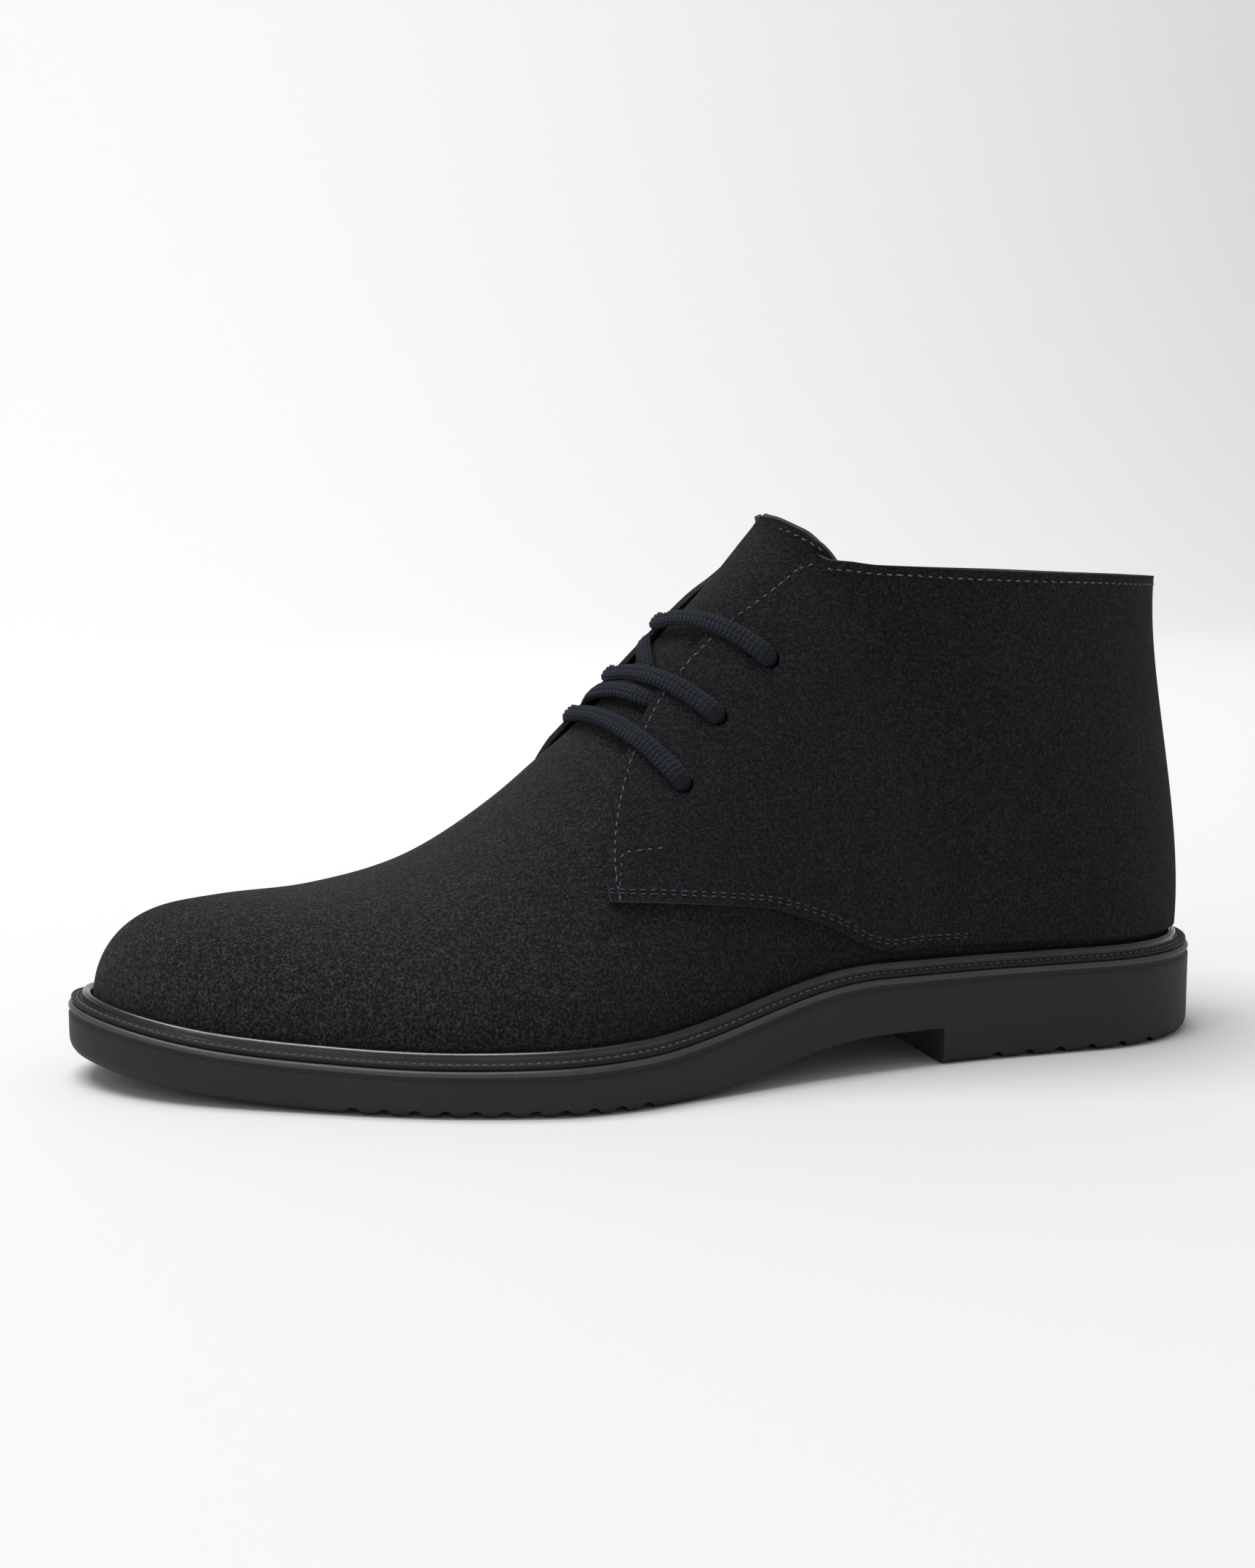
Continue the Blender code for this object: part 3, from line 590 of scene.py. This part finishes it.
def suede_finish(name, painted_light_level, painted_shade_fade):
    """Coarse short nap: near-black navy, browner in places, greyer in others. Painted light: the nap is
    painted lighter at the toe and darker away from it as painted shade, by the fade, and the level sets how
    light the whole piece is painted.
    """
    suede = Finish(name, Roughness=0.95, Specular_IOR_Level=0.12, Sheen_Weight=0.07, Sheen_Roughness=0.5,
                   Sheen_Tint=(0.80, 0.80, 0.86, 1))
    brushed, patch = suede.noise(26, 4, 0.55), suede.noise(120, 4, 0.6, warp=0.5)
    clumps, fibres = suede.noise(800, 3, 0.7, warp=0.6), suede.noise(1500, 3, 0.75, warp=0.6)
    dark = suede.mix(brushed.step(0.35, 0.65), (0.0042, 0.0035, 0.0040), (0.0040, 0.0040, 0.0048))
    light = suede.mix(brushed.step(0.35, 0.65), (0.066, 0.059, 0.063), (0.067, 0.067, 0.076))
    share = patch * 0.2 + clumps.step(0.38, 0.66) * 0.3 + fibres.step(0.44, 0.62) * 0.75 - 0.28
    # Painted shade: the colour darkens from the toe back towards the throat, standing in for the light that
    # falls on the toe's top.
    away = suede.node("ShaderNodeSeparateXYZ", {}, {"Vector": suede.place}, "Y").step(-0.12, 0.03)
    suede.feed(Base_Color=suede.mix(share * (painted_light_level - away * painted_shade_fade), dark, light), Roughness=patch * 0.1 + 0.86)
    suede.bump((patch, 0.0003), (clumps, 0.0008), (fibres, 0.0009))
    return suede


# The vamp is painted lighter at the toe and fades to painted shade at the throat. The quarters get a copy of
# the same suede at a lower level, which is painted shade on the boot's sides.
suede = suede_finish("suede", 1.1, 0.52)
quarter_suede_painted_shade = suede_finish("quarter suede with painted shade", 0.6, 0.1)
lining = Finish("leather lining", Roughness=0.6)
hide, crumb = lining.noise(200, 4), lining.noise(2600, 3)
lining.feed(Base_Color=lining.mix(hide, (0.13, 0.07, 0.038), (0.21, 0.12, 0.066)), Roughness=hide * 0.2 + 0.5)
lining.bump((crumb, 0.0001), (hide, 0.0002))
cut_edge = Finish("cut suede edge", Roughness=0.95)
fibre = cut_edge.noise(1500, 3, 0.7)
cut_edge.feed(Base_Color=cut_edge.mix(fibre.step(0.3, 0.7), (0.011, 0.0105, 0.013), (0.046, 0.045, 0.053)))
cut_edge.bump((fibre, 0.0004))

# Each (u, v) of the edge up to which the backing runs under a quarter, and of the tongue's own side edge.
THROAT = np.array([(0.452, 0.72), (0.476, 0.69), (0.51, 0.65), (0.53, 0.645), (0.545, 0.70), (0.565, 0.715),
                   (0.585, 0.71), (0.6, 0.70), (0.615, 0.69), (0.63, 0.70), (0.645, 0.73), (0.66, 0.80),
                   (0.68, 0.905), (0.7, 0.98), (0.72, 1), (1, 1)])
TONGUE_EDGE = np.array([(0.452, 0.72), (0.476, 0.69), (0.51, 0.65), (0.53, 0.645), (0.565, 0.64), (0.6, 0.63),
                        (0.64, 0.64), (0.66, 0.7), (0.68, 0.8)])
SPLIT, TONGUE_TOP, TONGUE_DROP = 0.53, 0.68, 1.1
front_u = np.unique(np.concatenate([np.linspace(0, 0.44, 84), np.linspace(0.44, SPLIT, 34)]))
tongue_u, back_u = np.linspace(SPLIT, TONGUE_TOP, 46), np.linspace(SPLIT, 1, 96)


def forward(u, side):
    """How far the inner side's edges lie ahead of the outer side's."""
    return (side < 0) * 0.016 * np.clip((0.72 - u) / 0.1, 0, 1) * np.clip((u - 0.3) / 0.1, 0, 1)


def rows_between(u, low, high, side, count, tongue=None):
    """A grid of the upper's points from v low to v high, and how much each one belongs to the tongue."""
    q = np.linspace(0, 1, count)
    v = low[:, None] + (high - low)[:, None] * q
    uu = np.repeat((u - forward(u, side))[:, None], count, 1)
    behind = ease((uu + forward(uu, side) - 0.474) / 0.05)
    belongs = behind * ease((v - np.interp(uu, *THROAT.T) + 0.02) / 0.09)
    return side, upper_point(uu, v, side), belongs if tongue is None else np.full(v.shape, tongue)


grids = []
for side in (1, -1):
    split = smooth(*TONGUE_EDGE.T, front_u)
    grids.append(rows_between(front_u, 0 * split, split, side, 44))
    grids.append(rows_between(front_u, split, 0 * split + 1, side, 22))
    low = smooth(*TONGUE_EDGE.T, tongue_u)
    grids.append(rows_between(tongue_u, low, 0 * low + 1, side, 22))
    high = smooth(*THROAT.T, back_u)
    grids.append(rows_between(back_u, 0 * high, np.minimum(high, 1), side, 44, tongue=0))
points, belongs, quads = sheet_of(grids)
normals = sheet_normals(points, quads)
at_foot = points[:, 2] < sole_top(points[:, 1]) + WELT + 2 * GAP + 0.05
normals[at_foot, 2] = 0
normals = unit(normals)
points = points + normals * (creases(points) - TONGUE_DROP * belongs)[:, None]
solid, faces, which, _ = leather(points, quads, -WALL, 0, normals)
piece("vamp_and_tongue", solid, faces, [suede, lining, cut_edge], ["upper", "tongue"], which=which)

# Quarters: two suede panels cut in one line from the welt to the collar, laid over the vamp and backing.
# They meet at the back of the heel, carry the eyelets, and show a raw edge with the stitching just inside it.
FACING = np.array([(0.499, 0.693), (0.515, 0.74), (0.527, 0.77), (0.543, 0.79), (0.565, 0.797), (0.585, 0.79),
                   (0.6, 0.777), (0.615, 0.767), (0.63, 0.775), (0.645, 0.81), (0.66, 0.868), (0.68, 0.938),
                   (0.7, 0.99), (0.72, 1), (0.8, 1), (0.9, 1), (1, 1)])
INNER_FACING = np.array([(0.499, 0.86), (0.515, 0.885), (0.527, 0.89), (0.543, 0.893), (0.565, 0.893),
                         (0.585, 0.887), (0.6, 0.87), (0.615, 0.84), (0.63, 0.822), (0.645, 0.835),
                         (0.66, 0.878), (0.68, 0.94), (0.7, 0.99), (0.72, 1), (0.8, 1), (0.9, 1), (1, 1)])
LOWER = np.array([(0.458, 0.39), (0.478, 0.34), (0.503, 0.273), (0.525, 0.22), (0.543, 0.18), (0.557, 0.143),
                  (0.57, 0.11), (0.582, 0.08), (0.593, 0.052), (0.605, 0.036), (0.63, 0.034), (0.7, 0.034),
                  (0.8, 0.034), (0.9, 0.034), (1, 0.034)])
# u at a column's top and at its foot
COLUMNS = np.array([(0.499, 0.458), (0.509, 0.478), (0.527, 0.503), (0.545, 0.525), (0.565, 0.543),
                    (0.585, 0.563), (0.6, 0.582), (0.615, 0.6), (0.63, 0.618), (0.645, 0.636), (0.66, 0.655),
                    (0.68, 0.678), (0.7, 0.7), (0.72, 0.72), (0.75, 0.75), (0.785, 0.785), (0.825, 0.825),
                    (0.865, 0.865), (0.905, 0.905), (0.945, 0.945), (0.975, 0.975), (1, 1)])
QUARTER, QUARTER_GAP, EYELET = 1.3, 0.65, 2.6
EYELETS = ((0.518, 0.527), (0.550, 0.603), (0.588, 0.627))


def quarter_grid(side, wide=190, tall=76):
    """A quarter's points on the upper: columns run from the front edge to the heel, rows from the welt up."""
    k = np.linspace(0, len(COLUMNS) - 1, wide)
    places = np.arange(len(COLUMNS))
    top_u, low_u = smooth(places, COLUMNS[:, 0], k), smooth(places, COLUMNS[:, 1], k)
    top_v = np.minimum(smooth(*(FACING if side > 0 else INNER_FACING).T, top_u), 1)
    low_v = smooth(*LOWER.T, low_u)
    q = np.linspace(0, 1, tall)
    bow = 0.03 * q * (1 - q) * np.maximum(0, 1 - k[:, None] / 4)
    u = np.minimum(low_u[:, None] + (top_u - low_u)[:, None] * q - bow, 0.9988)
    v = low_v[:, None] + (top_v - low_v)[:, None] * q
    return upper_point(u - forward(u, side), v, side)


def tube(path, wide, thick, across, sides=8):
    """A closed bar of oval section along a path. across gives the direction of its width."""
    path = np.asarray(path, float)
    forth = unit(np.gradient(path, axis=0))
    angle = np.linspace(0, 2 * np.pi, sides, endpoint=False)
    points, faces = [], []
    for p, t, w in zip(path, forth, across):
        w = unit(w - t * np.dot(w, t))
        h = np.cross(t, w)
        points += [p + wide / 2 * np.cos(s) * w + thick / 2 * np.sin(s) * h for s in angle]
    n = len(path)
    for i in range(n - 1):
        faces += [[i * sides + k, i * sides + (k + 1) % sides, (i + 1) * sides + (k + 1) % sides,
                   (i + 1) * sides + k] for k in range(sides)]
    return points, faces + [list(range(sides))[::-1], [(n - 1) * sides + k for k in range(sides)]]


blue_thread = Finish("slate thread", Roughness=0.8)
strand = blue_thread.noise(2400, 2)
blue_thread.feed(Base_Color=blue_thread.mix(strand, (0.035, 0.038, 0.054), (0.15, 0.16, 0.20)))
blue_thread.bump((strand, 0.00008))
deep_thread = Finish("deep blue thread", Roughness=0.8)
strand = deep_thread.noise(2400, 2)
deep_thread.feed(Base_Color=deep_thread.mix(strand, (0.012, 0.014, 0.024), (0.065, 0.072, 0.11)))
deep_thread.bump((strand, 0.00008))


def eased(line, reach=4):
    """A line with each point moved to the mean of its neighbours."""
    padded = np.concatenate([np.repeat(line[:1], reach, 0), line, np.repeat(line[-1:], reach, 0)])
    width = 2 * reach + 1
    return np.stack([np.convolve(column, np.ones(width) / width, "valid") for column in padded.T], -1)


def seam(edge, ups, inset, side, reverse=False):
    """The line that lies inset from an edge, on the leather, and its normals."""
    edge, ups = along(edge, 0.6, ups)
    ahead = unit(np.gradient(eased(edge, 5), axis=0))
    inwards = unit(np.cross(ups, ahead) * side * (1 if reverse else -1))
    return eased(edge + inwards * inset, 2), unit(eased(ups, 3))


FRONT_INSET, LOWER_INSETS = 2.3, (1.9, 2.9)
FRONT_SEED, LOWER_SEEDS, CORNER_SEED, TONGUE_SEED = 2, (3, 4), 5, 8
SEAM = {"pitch": 2.6, "length": 1.5, "thick": 0.42, "sink": 0.22}
eyes = {}
for side, name in ((1, "quarter_outer"), (-1, "quarter_inner")):
    grid = quarter_grid(side)
    points, _, quads = sheet_of([(side, grid, np.zeros(grid.shape[:2]))])
    points = points + sheet_normals(points, quads) * creases(points)[:, None]
    low = QUARTER_GAP + (0 if side > 0 else 0.2)
    solid, faces, which, normals = leather(points, quads, low, low + QUARTER)
    made = piece(name + "_suede", solid, faces, [quarter_suede_painted_shade, lining, cut_edge], [name],
                 which=which)
    punches = []
    for u, v in EYELETS:
        u = float(u - forward(np.array(u), side))
        centre, n = upper_point(u, v, side), normals_on(np.array(u), np.array(v), side)
        eyes[side, v] = (centre, n, u)
        rim = [np.array([0, 1.0, 0])] * 2
        punches.append(tube([centre - 5 * n, centre + 5 * n], 2 * EYELET, 2 * EYELET, rim, 24))
    carve(made, [cutter("punch", punches)], sharp=60)
    backing = bpy.data.objects["vamp_and_tongue"]
    carve(backing, [cutter("punch", punches)], sharp=60, solver="FAST")
    rounding = made.modifiers.new("edge", "BEVEL")
    rounding.width, rounding.segments, rounding.limit_method = 0.0003, 2, "ANGLE"
    rounding.angle_limit = math.radians(55)
    rounding.use_clamp_overlap = True

    def on_leather(places):
        """The outer face and normals of this quarter at places on its sheet."""
        nearest = np.array([np.argmin(((points - p) ** 2).sum(1)) for p in places])
        return points[nearest] + normals[nearest] * (low + QUARTER), normals[nearest]

    front, front_up = on_leather(np.concatenate([grid[0], grid[1:, -1]]))
    lower, lower_up = on_leather(grid[: len(grid) // 2, 0])
    rows = [(*seam(front, front_up, FRONT_INSET, side), FRONT_SEED)]
    rows += [(*seam(lower, lower_up, inset, side, True), seed)
             for inset, seed in zip(LOWER_INSETS, LOWER_SEEDS)]
    corners = np.array([(0.464, 0.395), (0.475, 0.482), (0.495, 0.431)])
    box_u, box_v = np.concatenate([np.linspace(a, b, 12) for a, b in zip(corners[:-1], corners[1:])]).T
    box_u = box_u - forward(box_u, side)
    box_n = normals_on(box_u, box_v, side)
    rows.append((upper_point(box_u, box_v, side) + box_n * (low + QUARTER), box_n, CORNER_SEED))
    seam_points, seam_faces, deep = [], [], []
    for path, ups, seed in rows:
        more, theirs = stitches(path, ups, seed=seed, **SEAM)
        seam_faces += [[len(seam_points) + i for i in f] for f in theirs]
        seam_points += list(more)
        deep += [int(seed in LOWER_SEEDS)] * len(theirs)
    piece(name + "_stitches", seam_points, seam_faces, [blue_thread, deep_thread], which=deep)

# The tongue's top edge is turned and held with one row of the same thread.
for side in (1, -1):
    u = np.linspace(0.636, 0.668, 60)
    v = np.full_like(u, 1 - 0.085)
    ups = normals_on(u - forward(u, side), v, side)
    line = upper_point(u - forward(u, side), v, side) - ups * (TONGUE_DROP - 0.05)
    points, faces = stitches(line, ups, start=0.8, seed=TONGUE_SEED, **SEAM)
    piece("tongue_stitches_" + ("outer" if side > 0 else "inner"), points, faces, [blue_thread])

# Lace: one round cord of braided navy cotton. It crosses the throat in three straight bars. From the lowest
# pair of eyelets one end runs under to the middle pair, the other to the top pair, and both are tucked in.
cotton = Finish("braided cotton", Roughness=0.88, Specular_IOR_Level=0.2, Sheen_Weight=0.08,
                Sheen_Roughness=0.5, Sheen_Tint=(0.7, 0.75, 0.95, 1))
yarn, worn = cotton.noise(2300, 3, 0.7), cotton.noise(300, 3)
share = yarn * 0.7 + worn * 0.3
cotton.feed(Base_Color=cotton.mix(share, (0.0014, 0.0018, 0.0048), (0.0205, 0.0235, 0.036)),
            Roughness=yarn * 0.1 + 0.82)
cotton.bump((yarn, 0.00022))
LACE_W, LACE_T, CROSSING = 4.5, 2.3, (0.496, 0.522, 0.558)
RIDGES, RIDGE_PITCH, AROUND, STEP = 12, 1.35, 60, 0.17


def braided(route, across, widths):
    """A cord of herringbone braid along a route: flatter and wider where widths says so."""
    route = np.asarray(route, float)
    walked = np.append(0, np.cumsum(np.linalg.norm(np.diff(route, axis=0), axis=1)))
    at = np.arange(0, walked[-1], STEP)
    path, w, wide = (smooth(walked, np.asarray(x, float), at) for x in (route, across, widths))
    forth = unit(np.gradient(path, axis=0))
    w = unit(w - forth * (w * forth).sum(-1, keepdims=True))
    h = np.cross(forth, w)
    turn = np.linspace(0, 2 * np.pi, AROUND, endpoint=False)
    c, s = np.cos(turn), np.sin(turn)
    bulge = (np.abs(c) ** 2.4 + np.abs(s) ** 2.4) ** (-1 / 2.4)
    zigzag = np.abs((turn / (2 * np.pi) * RIDGES / 2) % 1 * 2 - 1)
    strand = 0.5 + 0.5 * np.cos(2 * np.pi * (at[:, None] / RIDGE_PITCH + zigzag[None] * 0.55))
    groove = np.abs(np.sin(turn / 2 * RIDGES)) ** 0.6
    proud = 0.42 * (strand * groove[None]) - 0.2
    half_w = (LACE_W * wide / 2)[:, None] + proud
    half_t = (LACE_T / wide**0.7 / 2)[:, None] + proud
    points = (path[:, None] + w[:, None] * (half_w * c * bulge)[..., None]
              + h[:, None] * (half_t * s * bulge)[..., None]).reshape(-1, 3)
    n = len(at)
    i, k = np.meshgrid(np.arange(n - 1), np.arange(AROUND), indexing="ij")
    faces = np.stack([i * AROUND + k, i * AROUND + (k + 1) % AROUND, (i + 1) * AROUND + (k + 1) % AROUND,
                      (i + 1) * AROUND + k], -1).reshape(-1, 4).tolist()
    return points, faces + [list(range(AROUND))[::-1], [(n - 1) * AROUND + j for j in range(AROUND)]]


def over(u, v, side, lift):
    u, v = np.array(float(u)), np.array(float(v))
    n = normals_on(u, np.minimum(v, 0.995), side)
    return upper_point(u, v, side) + n * lift, n


LIFT = QUARTER_GAP + QUARTER + LACE_T / 2 + 0.1
for number, ((u, v), middle) in enumerate(zip(EYELETS, CROSSING), 1):
    stops = []
    for side in (1, -1):
        centre, n, at_u = eyes[side, v]
        half = []
        for share in (0.2, 0.34, 0.5, 0.66, 0.82):
            uu, vv = at_u + (middle - at_u) * share, v + (1 - v) * share
            p, pn = over(uu, vv, side, LIFT - 0.9 * ease((share - 0.3) / 0.5))
            half.append((p, pn, 1.16 - 0.16 * share / 0.6 if share < 0.6 else 1.0))
        ahead = unit(half[0][0] - centre - n * np.dot(half[0][0] - centre, n))
        half = [(centre - 3.4 * n - 0.8 * ahead, n, 0.95), (centre - 1.2 * n - 0.5 * ahead, n, 1.0),
                (centre + 0.9 * n - 0.1 * ahead, n, 1.02), (centre + 2.5 * n + 1.1 * ahead, n, 1.1)] + half
        stops += half if side > 0 else [(*over(middle, 1.0, 1, LIFT - 0.9), 1.0), *half[::-1]]
    route, across, widths = (np.array(column) for column in zip(*stops))
    flat = np.cross(np.gradient(route, axis=0), across)
    points, faces = braided(route, flat, widths)
    piece(f"lace_over_{number}", points, faces, [cotton], [f"lace_bar_{number}"])

# The runs underneath, as (side, u, v, height above the suede) along each.
hidden = (
    (((-1, 0.502, 0.54, -1.6), (-1, 0.5035, 0.66, -1.2), (-1, 0.506, 0.80, 0.6), (-1, 0.509, 0.92, 1.4),
      (1, 0.514, 0.97, 1.5), (1, 0.520, 0.88, 1.5), (1, 0.5255, 0.80, 1.0), (1, 0.532, 0.74, -0.6),
      (1, 0.541, 0.67, -1.4), (1, 0.550, 0.612, -1.7))),
    (((1, 0.519, 0.54, -1.6), (1, 0.523, 0.65, -1.2), (1, 0.5275, 0.76, -0.2), (1, 0.533, 0.86, 0.4),
      (1, 0.540, 0.95, 0.8), (-1, 0.5475, 0.95, 0.8), (-1, 0.554, 0.84, 0.2), (-1, 0.561, 0.74, -0.9),
      (-1, 0.572, 0.636, -1.7))),
)
for number, places in enumerate(hidden, 1):
    placed = [over(u, v, side, lift) for side, u, v, lift in places]
    route = np.array([p for p, _ in placed])
    flat = np.cross(np.gradient(route, axis=0), np.array([n for _, n in placed]))
    points, faces = braided(route, flat, np.full(len(route), 1.05))
    piece(f"lace_under_{number}", points, faces, [cotton])
